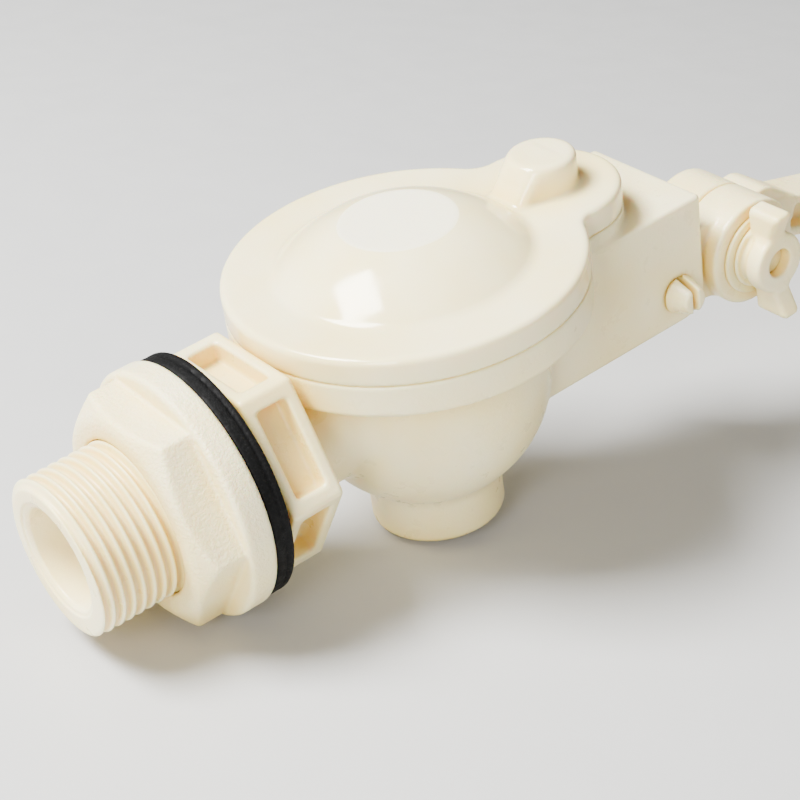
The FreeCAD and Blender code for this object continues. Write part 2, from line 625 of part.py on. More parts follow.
def float_nut():
    far = "-(eye_split - eye_gap / 2 - arm_eye_far) / 2 + %s" % screw_face()
    nut = hexagon("screw_nut", "screw_nut_thick", x="screw_x", y=far, direction="+Y")
    return at_arm(cut(nut, cylinder("screw_radius", "40", x="screw_x", y=-20, direction="+Y")))


# ---------------------------------------------------------------- document

def check_and_export():
    """Stop on any failed object, then write one file for each piece."""
    doc.recompute()
    for thing in doc.Objects:
        if "Invalid" in thing.State or "Error" in thing.State:
            raise RuntimeError("%s (%s) failed" % (thing.Name, thing.Label))
    os.makedirs("parts", exist_ok=True)
    for made in pieces:
        if made.Shape.isNull() or not made.Shape.isValid() or len(made.Shape.Solids) != 1:
            raise RuntimeError("%s has no single valid solid" % made.Label)
        made.Shape.exportStep("parts/%s.step" % made.Label)
        print("%-16s %10.1f mm3" % (made.Label, made.Shape.Volume))


fill_sheet()
for make in (inlet_tail, tank_gasket, lock_nut, valve_bowl, lever_housing, cap, pilot_nozzle,
             diaphragm, diaphragm_plate, valve_guide, return_spring, pivot_pin, lever, pilot_pad,
             knuckle_bolt, knuckle_washer, wing_nut, float_arm, float_upper, float_lower, float_screw,
             float_nut):
    piece(make.__name__, make())
check_and_export()
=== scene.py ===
"""Looks of the float valve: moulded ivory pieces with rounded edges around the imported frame.

Fields are signed distances in millimetres in the row frame: +Z up, the inlet along -X, the arm along +X,
the origin in the outlet mouth. Meshes are made from them and scaled to metres.
"""
import math

import bpy
import numpy as np
from mathutils import Matrix, Vector


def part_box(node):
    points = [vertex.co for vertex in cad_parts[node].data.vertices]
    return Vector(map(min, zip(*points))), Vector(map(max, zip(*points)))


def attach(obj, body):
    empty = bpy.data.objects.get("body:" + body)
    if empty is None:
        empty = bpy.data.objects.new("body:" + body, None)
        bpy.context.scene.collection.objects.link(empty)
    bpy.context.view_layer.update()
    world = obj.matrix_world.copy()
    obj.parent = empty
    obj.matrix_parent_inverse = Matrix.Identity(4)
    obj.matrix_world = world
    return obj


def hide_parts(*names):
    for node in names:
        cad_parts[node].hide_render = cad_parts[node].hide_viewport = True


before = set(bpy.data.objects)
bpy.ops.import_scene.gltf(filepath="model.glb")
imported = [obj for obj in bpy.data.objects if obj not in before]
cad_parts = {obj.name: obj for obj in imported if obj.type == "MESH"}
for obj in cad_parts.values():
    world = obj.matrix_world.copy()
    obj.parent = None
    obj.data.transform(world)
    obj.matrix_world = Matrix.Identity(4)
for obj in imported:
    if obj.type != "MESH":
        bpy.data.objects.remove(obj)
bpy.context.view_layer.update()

MM = 0.001

# ---------------------------------------------------------------- sizes, in mm

INLET_Z, INLET_BORE_R = 29.3, 8.5
COLLAR = (30.2, 39.9)
TAIL_END = 70.2
BOWL_Z, BOWL_R = 27.0, 21.8
SPOUT_R = 11.45
PARTING, CAP_TOP, CAP_R = 44.4, 49.1, 29.7
DOME_Z, DOME_R, DOME_FLAT = 26.8, 30.7, 56.0
MEMBRANE_R = 26.4
PILOT_X, LOBE_R, LOBE_BOTTOM = 30.1, 12.9, 41.3
PIVOT, PIVOT_HOLE_R = (46.8, 24.75), 2.98
LEVER_TRAVEL = 18.0
KNUCKLE, KNUCKLE_HOLE_R, EYE_R = (64.5, 25.1), 2.53, 9.7
WING_TURN = -4.0
ARM_TILT, ARM_MIDDLE = 15.0, -0.425
SCREW_U, SCREW_HOLE_R = 118.0, 1.97
FLOAT_X, FLOAT_DROP, FLOAT_R, FLOAT_HALF = 170.0, 6.0, 42.0, 23.8


# ---------------------------------------------------------------- field tools

def join(a, b, fillet):
    """Union with a concave fillet of that radius."""
    u, v = np.maximum(fillet - a, 0), np.maximum(fillet - b, 0)
    return np.maximum(fillet, np.minimum(a, b)) - np.sqrt(u * u + v * v)


def meet(a, b, edge):
    """Intersection with a convex edge of that radius."""
    u, v = np.maximum(edge + a, 0), np.maximum(edge + b, 0)
    return np.minimum(-edge, np.maximum(a, b)) + np.sqrt(u * u + v * v)


def carve(a, b, edge):
    """a with b taken away, and the new edge rounded."""
    return meet(a, -b, edge)


def slab(t, low, high):
    """Field of low < t < high."""
    return np.abs(t - (low + high) / 2) - (high - low) / 2


def half_plane(u, v, at, towards):
    """Field that grows to the left of the line from at to towards."""
    du, dv = towards[0] - at[0], towards[1] - at[1]
    size = math.hypot(du, dv)
    return ((v - at[1]) * du - (u - at[0]) * dv) / size


def convex(u, v, corners, edge):
    """A convex outline given clockwise, with rounded corners."""
    field = half_plane(u, v, corners[-1], corners[0])
    for start, end in zip(corners, corners[1:]):
        field = meet(field, half_plane(u, v, start, end), edge)
    return field


def hexagon(u, v, corner, turn_degrees, edge):
    """Hexagonal outline with one corner at that angle from u, and rounded corners."""
    radius, angle = np.hypot(u, v), np.arctan2(v, u)
    sixth = math.pi / 3
    facet = math.radians(turn_degrees) + sixth / 2
    local = angle - facet
    local = local - sixth * np.round(local / sixth)
    inner = corner * math.cos(sixth / 2) - edge
    along, across = radius * np.cos(local), np.abs(radius * np.sin(local))
    past = np.maximum(across - inner * math.tan(sixth / 2), 0)
    outside = np.hypot(np.maximum(along - inner, 0), past)
    return np.where((along > inner) | (past > 0), outside, along - inner) - edge


def sixth_turns(u, v, turn_degrees=0.0):
    """Coordinates folded onto one facet of a hexagon: out from the centre, and along the facet."""
    radius, angle = np.hypot(u, v), np.arctan2(v, u) - math.radians(turn_degrees)
    sixth = math.pi / 3
    angle = angle - sixth * np.round(angle / sixth)
    return radius * np.cos(angle), radius * np.sin(angle)


# ---------------------------------------------------------------- meshes from fields

def crossings(values):
    """A point for each grid cell that the surface passes through, in cell units, and the cells' numbers."""
    inside = values < 0
    shape = np.array(values.shape) - 1
    corners = [(i, j, k) for i in (0, 1) for j in (0, 1) for k in (0, 1)]

    def shifted(grid, corner):
        i, j, k = corner
        return grid[i:i + shape[0], j:j + shape[1], k:k + shape[2]]

    count = sum(shifted(inside, corner).astype(np.int8) for corner in corners)
    cells = np.argwhere((count > 0) & (count < 8))
    total, hits = np.zeros((len(cells), 3)), np.zeros(len(cells))
    for start in corners:
        for axis in range(3):
            if start[axis]:
                continue
            step = np.eye(3, dtype=int)[axis]
            a = values[tuple((cells + start).T)]
            b = values[tuple((cells + start + step).T)]
            crossed = (a < 0) != (b < 0)
            part = np.where(crossed, a / np.where(crossed, a - b, 1), 0)
            total += np.where(crossed[:, None], np.array(start) + part[:, None] * step, 0)
            hits += crossed
    numbers = np.full(shape, -1, np.int64)
    numbers[tuple(cells.T)] = np.arange(len(cells))
    return cells + total / hits[:, None], numbers


def quads(values, numbers):
    """Faces across each grid edge that the surface crosses, turned outwards."""
    inside = values < 0
    faces = []
    for axis in range(3):
        one, two = [(1, 2), (2, 0), (0, 1)][axis]
        edge = np.argwhere(np.diff(inside, axis=axis))
        within = edge[:, [one, two]]
        edge = edge[((within > 0) & (within < np.array(numbers.shape)[[one, two]])).all(axis=1)]
        ring = []
        for back_one, back_two in ((0, 0), (1, 0), (1, 1), (0, 1)):
            cell = edge.copy()
            cell[:, one] -= back_one
            cell[:, two] -= back_two
            ring.append(numbers[tuple(cell.T)])
        ring = np.stack(ring, 1)
        outward = inside[tuple(edge.T)]
        faces.append(np.where(outward[:, None], ring, ring[:, ::-1]))
    return np.concatenate(faces)


def settle(points, field, reach):
    """Move points onto the field's zero along its slope."""
    probe, rounds, least_slope = 0.02, 4, 0.2
    for _ in range(rounds):
        here = field(*points.T)
        slope = np.stack([
            (field(*(points + probe * side).T) - field(*(points - probe * side).T)) / (2 * probe)
            for side in np.eye(3)], 1)
        move = -here[:, None] * slope / np.maximum((slope ** 2).sum(1), least_slope)[:, None]
        size = np.linalg.norm(move, axis=1)[:, None]
        points = points + move * np.minimum(1, reach / np.maximum(size, 1e-9))
    return points


def smooth_faces(mesh):
    mesh.polygons.foreach_set("use_smooth", np.ones(len(mesh.polygons), bool))


def moulded(name, field, low, high, step, body, nodes, finish):
    """A piece whose surface is the zero of a field between two corners."""
    before, after = 1.5 * step, 2.5 * step
    axes = [np.arange(low[axis] - before, high[axis] + after, step) for axis in range(3)]
    values = field(*np.meshgrid(*axes, indexing="ij"))
    local, numbers = crossings(values)
    points = local * step + np.array([axis[0] for axis in axes])
    points = settle(points, field, reach=step / 2)
    mesh = bpy.data.meshes.new(name)
    mesh.from_pydata(points * MM, [], quads(values, numbers).tolist())
    mesh.validate()
    smooth_faces(mesh)
    piece = bpy.data.objects.new(name, mesh)
    bpy.context.scene.collection.objects.link(piece)
    mesh.materials.append(finish)
    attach(piece, body)
    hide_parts(*nodes)
    return piece


# ---------------------------------------------------------------- materials

class Finish:
    """A procedural material, built node by node around one Principled shader."""

    def __init__(self, name):
        self.material = bpy.data.materials.new(name)
        self.material.use_nodes = True
        self.tree = self.material.node_tree
        self.shader = self.tree.nodes["Principled BSDF"]
        self.place = self.tree.nodes.new("ShaderNodeTexCoord").outputs["Object"]

    def set(self, **values):
        for name, value in values.items():
            self.shader.inputs[name.replace("_", " ")].default_value = value
        return self

    def noise(self, scale, detail, roughness=0.5):
        node = self.tree.nodes.new("ShaderNodeTexNoise")
        node.inputs["Scale"].default_value = scale
        node.inputs["Detail"].default_value = detail
        node.inputs["Roughness"].default_value = roughness
        self.tree.links.new(self.place, node.inputs["Vector"])
        return node.outputs[0]

    def remap(self, source, low, high, to_low, to_high):
        node = self.tree.nodes.new("ShaderNodeMapRange")
        for name, value in zip(("From Min", "From Max", "To Min", "To Max"), (low, high, to_low, to_high)):
            node.inputs[name].default_value = value
        self.tree.links.new(source, node.inputs["Value"])
        return node.outputs["Result"]

    def blend(self, source, first, second):
        node = self.tree.nodes.new("ShaderNodeMix")
        node.data_type = "RGBA"
        node.inputs[6].default_value = (*first, 1)
        node.inputs[7].default_value = (*second, 1)
        self.tree.links.new(source, node.inputs[0])
        return node.outputs[2]

    def paint_hollow_shade(self, colour, deep, reach):
        """Painted shade: the colour turned towards a darker, deeper one in hollows narrower than the reach
        in millimetres, where ambient occlusion finds them.
        """
        node = self.tree.nodes.new("ShaderNodeAmbientOcclusion")
        node.samples = 6
        node.inputs["Distance"].default_value = reach * MM
        # Painted shade mask: the less open the surface is, the more of the deep painted shade colour it
        # gets.
        painted_shade_mask = self.remap(node.outputs["AO"], low=0.25, high=0.85, to_low=1.0, to_high=0.0)
        mix = self.tree.nodes.new("ShaderNodeMix")
        mix.data_type = "RGBA"
        mix.inputs[7].default_value = (*deep, 1)
        self.tree.links.new(painted_shade_mask, mix.inputs[0])
        self.tree.links.new(colour, mix.inputs[6])
        return mix.outputs[2]

    def link(self, source, name):
        self.tree.links.new(source, self.shader.inputs[name])
        return self

    def bump(self, *layers):
        """Each layer is a height source and its depth in metres."""
        normal = None
        for source, depth in layers:
            node = self.tree.nodes.new("ShaderNodeBump")
            node.inputs["Distance"].default_value = depth
            self.tree.links.new(source, node.inputs["Height"])
            if normal:
                self.tree.links.new(normal, node.inputs["Normal"])
            normal = node.outputs["Normal"]
        return self.link(normal, "Normal")


IVORY_LIGHT = (0.97, 0.85, 0.52)
IVORY_WARM = (0.96, 0.79, 0.38)
# Painted shade: hollows and recesses are turned towards this darker, warmer colour.
IVORY_PAINTED_SHADE = (0.86, 0.64, 0.17)
DISC_PALE = (0.97, 0.88, 0.64)
# Reach in mm of the painted shade in hollows.
PAINTED_SHADE_REACH = 9.0


def ivory(name, gloss, grain_depth, grain_scale=900.0, tint=1.0):
    """Moulded ivory plastic: cloudy colour, painted shade in hollows, light passing through, flow marks and
    a fine surface grain.
    """
    made = Finish(name)
    cloud = made.remap(made.noise(scale=55.0, detail=3.0), low=0.35, high=0.65, to_low=0.0, to_high=1.0)
    light = tuple(value * tint for value in IVORY_LIGHT)
    warm = tuple(value * tint for value in IVORY_WARM)
    # Base colour: random cloud between two ivories, with painted shade laid into the hollows.
    made.link(made.paint_hollow_shade(made.blend(cloud, light, warm), IVORY_PAINTED_SHADE, PAINTED_SHADE_REACH), "Base Color")
    made.set(Subsurface_Weight=0.40, Subsurface_Radius=(1.0, 0.55, 0.22), Subsurface_Scale=0.0022, IOR=1.53)
    worn = made.noise(scale=260.0, detail=4.0)
    made.link(made.remap(worn, low=0.3, high=0.7, to_low=gloss - 0.05, to_high=gloss + 0.07), "Roughness")
    flow, flow_depth = made.noise(scale=120.0, detail=1.0), 0.00010
    grain = made.noise(grain_scale, detail=3.0, roughness=0.6)
    return made.bump((flow, flow_depth), (grain, grain_depth)).material


def rubber(name, shade):
    """Matt black rubber with lighter specks and a coarse grain."""
    made = Finish(name)
    specks = made.noise(scale=2600.0, detail=2.0, roughness=0.7)
    speckle = made.remap(specks, low=0.55, high=0.75, to_low=0.0, to_high=1.0)
    speck_gain = 5
    made.link(made.blend(speckle, shade, tuple(speck_gain * value for value in shade)), "Base Color")
    made.set(Specular_IOR_Level=0.12)
    worn = made.noise(scale=700.0, detail=3.0)
    made.link(made.remap(worn, low=0.3, high=0.7, to_low=0.55, to_high=0.8), "Roughness")
    grain, grain_depth = made.noise(scale=1500.0, detail=4.0, roughness=0.7), 0.00012
    return made.bump((grain, grain_depth)).material


def steel(name):
    """Drawn wire and screw steel, faintly streaked."""
    made = Finish(name)
    streak, streak_depth = made.noise(scale=1800.0, detail=2.0), 0.00002
    made.link(made.blend(streak, first=(0.50, 0.50, 0.49), second=(0.66, 0.65, 0.63)), "Base Color")
    made.set(Metallic=1.0)
    worn = made.noise(scale=900.0, detail=3.0)
    made.link(made.remap(worn, low=0.3, high=0.7, to_low=0.25, to_high=0.42), "Roughness")
    return made.bump((streak, streak_depth)).material


def glossy_dome():
    """Glossy ivory, but matte and a little paler on the dome's flat disc."""
    material = ivory("ivory_gloss", gloss=0.13, grain_depth=0.000004)
    nodes, links = material.node_tree.nodes, material.node_tree.links
    height = nodes.new("ShaderNodeSeparateXYZ")
    links.new(nodes["Texture Coordinate"].outputs["Object"], height.inputs["Vector"])
    disc = nodes.new("ShaderNodeMapRange")
    fade_from, fade_to, disc_roughness = 0.14, 0.05, 0.42
    disc.inputs["From Min"].default_value = (DOME_FLAT - fade_from) * MM
    disc.inputs["From Max"].default_value = (DOME_FLAT - fade_to) * MM
    links.new(height.outputs["Z"], disc.inputs["Value"])
    shader = nodes["Principled BSDF"]
    matte = nodes.new("ShaderNodeMix")
    matte.inputs[3].default_value = disc_roughness
    links.new(disc.outputs["Result"], matte.inputs[0])
    links.new(shader.inputs["Roughness"].links[0].from_socket, matte.inputs[2])
    links.new(matte.outputs[0], shader.inputs["Roughness"])
    pale = nodes.new("ShaderNodeMix")
    pale.data_type = "RGBA"
    pale.inputs[7].default_value = (*DISC_PALE, 1)
    links.new(disc.outputs["Result"], pale.inputs[0])
    links.new(shader.inputs["Base Color"].links[0].from_socket, pale.inputs[6])
    links.new(pale.outputs[2], shader.inputs["Base Color"])
    return material


GLOSSY = glossy_dome()
SATIN = ivory("ivory_satin", gloss=0.30, grain_depth=0.00006, grain_scale=1500.0)
GRAINED = ivory("ivory_grained", gloss=0.40, grain_depth=0.00026, grain_scale=1700.0)
INNER = ivory("ivory_inner", gloss=0.34, grain_depth=0.00001, tint=0.96)
RUBBER = rubber("black_rubber", shade=(0.002, 0.002, 0.002))
STEEL = steel("spring_steel")


# ---------------------------------------------------------------- valve body

def plan(x, y):
    """Round flange and pilot lobe, seen from above."""
    ring = np.hypot(x, y) - CAP_R
    lobe = np.hypot(np.maximum(x - PILOT_X, 0) + np.minimum(x, 0), y) - LOBE_R
    return join(ring, lobe, fillet=2.0)


def collar_field(x, y, z):
    """Hex collar with a deep core in each facet."""
    up, along = z - INLET_Z, -x
    out, side = sixth_turns(up, y)
    back, front = COLLAR
    outline = hexagon(up, y, corner=19.45, turn_degrees=30.0, edge=0.7)
    solid = meet(outline, slab(along, back, front), edge=0.6)
    wall, floor_out = 2.1, 13.4
    core = meet(slab(side, low=-7.3, high=7.3), slab(along, back + wall, front - wall), edge=0.7)
    core = meet(core, floor_out - out, edge=0.5)
    return carve(solid, core, edge=0.4)


def housing_field(x, y, z):
    """Open-ended box with a rounded lower corner, and the pilot post under its roof."""
    start, end, bottom, half_width = 10.0, 53.1, 18.6, 13.0
    outline = meet(x - end, bottom - z, edge=5.0)
    outline = meet(outline, z - LOBE_BOTTOM, edge=0.5)
    outline = np.maximum(outline, start - x)
    solid = meet(outline, np.abs(y) - half_width, edge=0.6)
    room_start, room_half, roof = 8.0, 10.95, 39.3
    room = meet(np.abs(y) - room_half, z - roof, edge=0.8)
    walls = carve(solid, np.maximum(room, room_start - x), edge=0.35)
    post_radius, post_end, post_top = 4.2, 29.4, 40.0
    post = meet(np.hypot(x - PILOT_X, y) - post_radius, post_end - z, edge=0.8)
    post = np.maximum(post, z - post_top)
    return join(walls, post, fillet=0.8)


def body_field(x, y, z):
    """One moulding: collar, neck, bowl, spout, flange and lever housing."""
    spread = np.hypot(x, y)
    bowl = np.maximum(np.sqrt(x * x + y * y + (z - BOWL_Z) ** 2) - BOWL_R, z - PARTING)
    spout_top, neck_radius, flange_bottom = 20.0, 11.0, 38.8
    spout = meet(spread - SPOUT_R, -z, edge=0.5)
    spout = np.maximum(spout, z - spout_top)
    field = join(bowl, spout, fillet=1.6)
    neck = np.hypot(y, z - INLET_Z) - neck_radius
    neck = np.maximum(neck, slab(x, low=-33.0, high=-3.0))
    field = join(field, neck, fillet=1.8)
    flange = meet(spread - CAP_R, slab(z, flange_bottom, PARTING), edge=0.35)
    lobe = meet(plan(x, y), slab(z, LOBE_BOTTOM, PARTING), edge=0.35)
    field = join(field, np.minimum(flange, lobe), fillet=1.2)
    field = join(field, housing_field(x, y, z), fillet=0.9)
    field = join(field, collar_field(x, y, z), fillet=0.9)
    return hollow_out(field, x, y, z)


def hollow_out(field, x, y, z):
    """Water chamber with its standpipe, the two bores and the pivot holes."""
    spread = np.hypot(x, y)
    over = 46.0
    chamber_radius, chamber_top, throat_radius, rim_radius = 19.4, 37.9, 16.0, 22.0
    chamber = np.sqrt(x * x + y * y + (z - BOWL_Z) ** 2) - chamber_radius
    chamber = np.maximum(chamber, z - chamber_top)
    throat = np.maximum(spread - throat_radius, slab(z, low=36.0, high=over))
    rim = np.maximum(spread - rim_radius, slab(z, low=40.4, high=over))
    chamber = np.minimum(np.minimum(chamber, throat), rim)
    pipe_radius, pipe_top = 10.2, 41.0
    pipe = np.maximum(spread - pipe_radius, z - pipe_top)
    field = np.maximum(field, -np.maximum(chamber, -pipe))
    field = np.maximum(field, -np.maximum(spread - MEMBRANE_R, slab(z, low=43.4, high=over)))
    outlet_radius, seat_radius = 8.3, 8.0
    field = carve(field, np.maximum(spread - outlet_radius, slab(z, low=-5.0, high=28.0)), edge=0.4)
    field = np.maximum(field, -np.maximum(spread - seat_radius, slab(z, low=20.0, high=44.0)))
    inlet = np.maximum(np.hypot(y, z - INLET_Z) - INLET_BORE_R, slab(x, low=-80.0, high=-12.7))
    field = np.maximum(field, -inlet)
    wall_inside = 9.0
    pivot = np.maximum(np.hypot(x - PIVOT[0], z - PIVOT[1]) - PIVOT_HOLE_R, wall_inside - np.abs(y))
    return carve(field, pivot, edge=0.25)


def thread_field(x, y, z):
    """Pipe thread with narrow rounded crests, a turned lead and a bevelled mouth."""
    up, along = z - INLET_Z, -x
    radius, angle = np.hypot(up, y), np.arctan2(y, up)
    past_end = along - TAIL_END
    pitch, middle, height, steepness, valley_bias = 1.814, 12.64, 0.60, 1.6, 0.35
    wave = np.cos(2 * np.pi * along / pitch - angle)
    ridge = middle + height * np.tanh(steepness * wave - valley_bias)
    runout_start, runout, runout_radius = 41.2, 1.5, 12.0
    ridge = runout_radius + (ridge - runout_radius) * np.clip((along - runout_start) / runout, 0, 1)
    evened_slope = 0.72
    outside = meet((radius - ridge) * evened_slope, past_end, edge=0.35)
    lead_radius, root = 12.75, 39.0
    outside = meet(outside, (radius - lead_radius + past_end) / math.sqrt(2), edge=0.3)
    outside = np.maximum(outside, root - along)
    bevel_radius, step_radius, step_depth = 9.3, 9.6, 0.3
    bore = np.minimum(radius - INLET_BORE_R, (radius - bevel_radius - past_end) / math.sqrt(2))
    step = np.maximum(radius - step_radius, TAIL_END - step_depth - along)
    return carve(outside, np.minimum(bore, step), edge=0.12)


def nut_field(x, y, z):
    """Hex nut with a cone-shaped nose, and its round flange."""
    up, along = z - INLET_Z, -x
    radius = np.hypot(up, y)
    nose_start, nose_radius, nose_lean = 56.4, 16.4, (0.505, 0.863)
    six = meet(hexagon(up, y, corner=20.1, turn_degrees=27.9, edge=0.5),
               slab(along, low=46.0, high=nose_start), edge=0.4)
    nose = (radius - nose_radius) * nose_lean[0] + (along - nose_start) * nose_lean[1]
    six = meet(six, nose, edge=0.5)
    flange_radius, bore_radius = 21.1, 13.28
    flange = meet(radius - flange_radius, slab(along, low=44.4, high=49.2), edge=0.8)
    return carve(join(six, flange, fillet=0.35), radius - bore_radius, edge=0.25)


def gasket_field(x, y, z):
    """Ring that isn't quite round, with a faint split line round its rim."""
    up, along = z - INLET_Z, -x
    radius, angle = np.hypot(up, y), np.arctan2(y, up)
    rim_radius, bore_radius = 20.6, 13.75
    rim = rim_radius + 0.12 * np.sin(2 * angle + 0.6) + 0.06 * np.sin(5 * angle)
    line_middle, line_width, line_depth = 42.2, 0.22, 0.3
    wander = 0.15 * np.sin(3 * angle)
    line = line_depth * np.exp(-((along - line_middle - wander) / line_width) ** 2)
    ring = meet(radius - rim + line, slab(along, low=40.9, high=44.38), edge=0.45)
    return carve(ring, radius - bore_radius, edge=0.3)


def cap_field(x, y, z):
    """Cover plate and lobe, dome with its flat disc, and the boss with its short runner."""
    joint_gap, root = 0.04, PARTING + 1.0
    plate = meet(plan(x, y), z - CAP_TOP, edge=1.0)
    plate = meet(plate, PARTING + joint_gap - z, edge=0.3)
    dome = np.sqrt(x * x + y * y + (z - DOME_Z) ** 2) - DOME_R
    dome = np.maximum(meet(dome, z - DOME_FLAT, edge=0.12), root - z)
    field = join(plate, dome, fillet=0.7)
    boss_radius, boss_top, runner_half = 5.85, 55.0, 4.4
    runner_foot, runner_head = (20.7, CAP_TOP), (24.6, 54.0)
    boss = meet(np.hypot(x - PILOT_X, y) - boss_radius, z - boss_top, edge=1.1)
    boss = np.maximum(boss, root - z)
    runner = meet(half_plane(x, z, runner_foot, runner_head), z - runner_head[1], edge=1.4)
    runner = meet(runner, np.abs(y) - runner_half, edge=2.2)
    runner = np.maximum(runner, np.maximum(x - PILOT_X, root - z))
    field = join(field, join(boss, runner, fillet=1.6), fillet=0.9)
    inside_radius, ceiling, stud_radius, stud_end, recess_top = 28.5, 53.8, 4.1, 50.5, 45.4
    inside = np.sqrt(x * x + y * y + (z - DOME_Z) ** 2) - inside_radius
    inside = np.maximum(inside, z - ceiling)
    stud = np.maximum(np.hypot(x, y) - stud_radius, stud_end - z)
    inside = np.maximum(inside, -stud)
    field = np.maximum(field, -inside)
    return np.maximum(field, -np.maximum(np.hypot(x, y) - MEMBRANE_R, z - recess_top))


# ---------------------------------------------------------------- lever and knuckle

def turned(x, z, centre, degrees):
    """Coordinates in a frame at the centre that has been turned nose-down about the Y axis."""
    c, s = math.cos(math.radians(degrees)), math.sin(math.radians(degrees))
    dx, dz = x - centre[0], z - centre[1]
    return dx * c - dz * s, dx * s + dz * c


def lever_field(x, y, z):
    """Block with the pilot horn at its back and the knuckle eye at its front."""
    block_half, eye_face = 10.6, -4.85
    block = convex(x, z, [(41.6, 20.15), (41.6, 33.0), (60.2, 33.0), (60.2, 15.8), (57.2, 16.8),
                          (48.8, 19.15)], edge=0.6)
    block = meet(block, np.abs(y) - block_half, edge=0.6)
    eye_radius = np.hypot(x - KNUCKLE[0], z - KNUCKLE[1])
    eye = meet(eye_radius - EYE_R, slab(y, low=-13.9, high=-5.0), edge=0.6)
    field = join(block, horn_field(x, y, z), fillet=0.8)
    field = carve(field, arm_room(x, y, eye_radius, eye_face), edge=0.3)
    field = join(field, eye, fillet=0.7)
    field = carve(field, np.hypot(x - PIVOT[0], z - PIVOT[1]) - PIVOT_HOLE_R, edge=0.2)
    return carve(field, eye_radius - KNUCKLE_HOLE_R, edge=0.25)


def horn_field(x, y, z):
    """Upright behind the pivot, with a seat for the pilot pad."""
    u, w = turned(x, z, PIVOT, LEVER_TRAVEL)
    tip, half_width, foot = 12.1, 5.0, -2.0
    horn = meet(meet(slab(u, low=-8.6, high=-5.3), w - tip, edge=0.6), np.abs(y) - half_width, edge=0.6)
    horn = np.maximum(horn, foot - w)
    seat_height, seat_radius, seat_floor = 8.25, 3.4, -8.0
    pad_seat = np.maximum(np.hypot(y, w - seat_height) - seat_radius, u - seat_floor)
    return np.maximum(horn, -pad_seat)


def arm_room(x, y, eye_radius, face):
    """Space beside the lever's eye in which the arm's eye turns."""
    clear_radius = 10.2
    room = np.maximum(eye_radius - clear_radius, face - y)
    return np.minimum(room, np.maximum(KNUCKLE[0] - x, face - y))


def pin_field(x, y, z):
    """Headed pivot pin with a split snap end."""
    radius = np.hypot(x - PIVOT[0], z - PIVOT[1])
    head_radius, shank_radius, barb_radius, barb_start, barb_taper = 4.6, 2.9, 3.6, -13.3, 0.33
    head = meet(radius - head_radius, slab(y, low=13.1, high=15.1), edge=0.7)
    shank = np.maximum(radius - shank_radius, slab(y, low=-14.0, high=14.0))
    barb = meet(radius - barb_radius + (barb_start - y) * barb_taper,
                slab(y, low=-17.3, high=barb_start), edge=0.35)
    slot_half, slot_floor = 0.65, -10.5
    slot = np.maximum(np.abs(x - PIVOT[0]) - slot_half, y - slot_floor)
    return carve(np.minimum(np.minimum(head, shank), barb), slot, edge=0.2)


def washer_field(x, y, z):
    radius = np.hypot(x - KNUCKLE[0], z - KNUCKLE[1])
    rim_radius = 7.4
    ring = meet(radius - rim_radius, slab(y, low=-14.7, high=-13.92), edge=0.3)
    return carve(ring, radius - KNUCKLE_HOLE_R, edge=0.15)


def wing_field(x, y, z):
    """Round hub with a base ring, a groove and two wings that lean outwards."""
    u, w = turned(x, z, KNUCKLE, WING_TURN)
    radius = np.hypot(u, w)
    ring_radius, neck_radius, hub_radius, hub_end, bore_radius = 5.9, 4.7, 5.5, -20.2, 2.6
    ring = meet(radius - ring_radius, slab(y, low=-15.4, high=-14.72), edge=0.25)
    neck = np.maximum(radius - neck_radius, slab(y, low=-18.0, high=-15.0))
    hub = meet(radius - hub_radius, slab(y, low=hub_end, high=-16.8), edge=0.7)
    barrel = join(join(ring, neck, fillet=0.3), hub, fillet=0.4)
    reach = np.abs(w)
    wing_half, wing_reach, wing_back, wing_tip = 2.0, 10.6, -15.42, -22.4
    wing = meet(np.abs(u) - wing_half, reach - wing_reach, edge=1.2)
    wing = meet(wing, y - wing_back, edge=0.5)
    front = half_plane(reach, y, (hub_radius, hub_end), (wing_reach, wing_tip))
    wing = meet(wing, -front, edge=1.0)
    return carve(join(barrel, wing, fillet=1.0), radius - bore_radius, edge=0.4)


# ---------------------------------------------------------------- arm and float

def arm_field(x, y, z):
    """I-section arm with a round eye, a sloping shoulder and a flat tongue."""
    u, w = turned(x, z, KNUCKLE, ARM_TILT)
    v = y - ARM_MIDDLE
    half_height, half_width, shoulder_end = 4.1, 4.425, 20.3
    sides = np.abs(v) - half_width
    beam = meet(meet(np.abs(w) - half_height, slab(u, low=0.0, high=110.0), edge=0.4), sides, edge=0.5)
    shoulder = convex(u, w, [(6.0, 0.0), (6.0, half_height), (9.7, 6.9), (12.3, 7.3),
                             (shoulder_end, half_height), (shoulder_end, 0.0)], edge=0.8)
    solid = join(beam, meet(shoulder, sides, edge=0.5), fillet=0.8)
    solid = np.minimum(solid, meet(np.hypot(u, w) - EYE_R, sides, edge=0.5))
    web_half = 1.2
    trough = meet(slab(w, low=-2.2, high=2.2), slab(u, low=shoulder_end, high=106.0), edge=0.8)
    trough = meet(trough, web_half - np.abs(v), edge=0.4)
    solid = carve(solid, trough, edge=0.35)
    tongue_half = 2.0
    tongue = meet(slab(u, low=100.0, high=128.0), np.abs(w) - half_height, edge=1.5)
    solid = join(solid, meet(tongue, np.abs(v) - tongue_half, edge=0.4), fillet=0.5)
    socket_floor, bore_radius = 1.0, 2.47
    socket = np.maximum(hexagon(u, w, corner=4.62, turn_degrees=0.0, edge=0.1), socket_floor - y)
    solid = np.maximum(solid, -socket)
    solid = carve(solid, np.hypot(u, w) - bore_radius, edge=0.2)
    return carve(solid, np.hypot(u - SCREW_U, w) - SCREW_HOLE_R, edge=0.2)


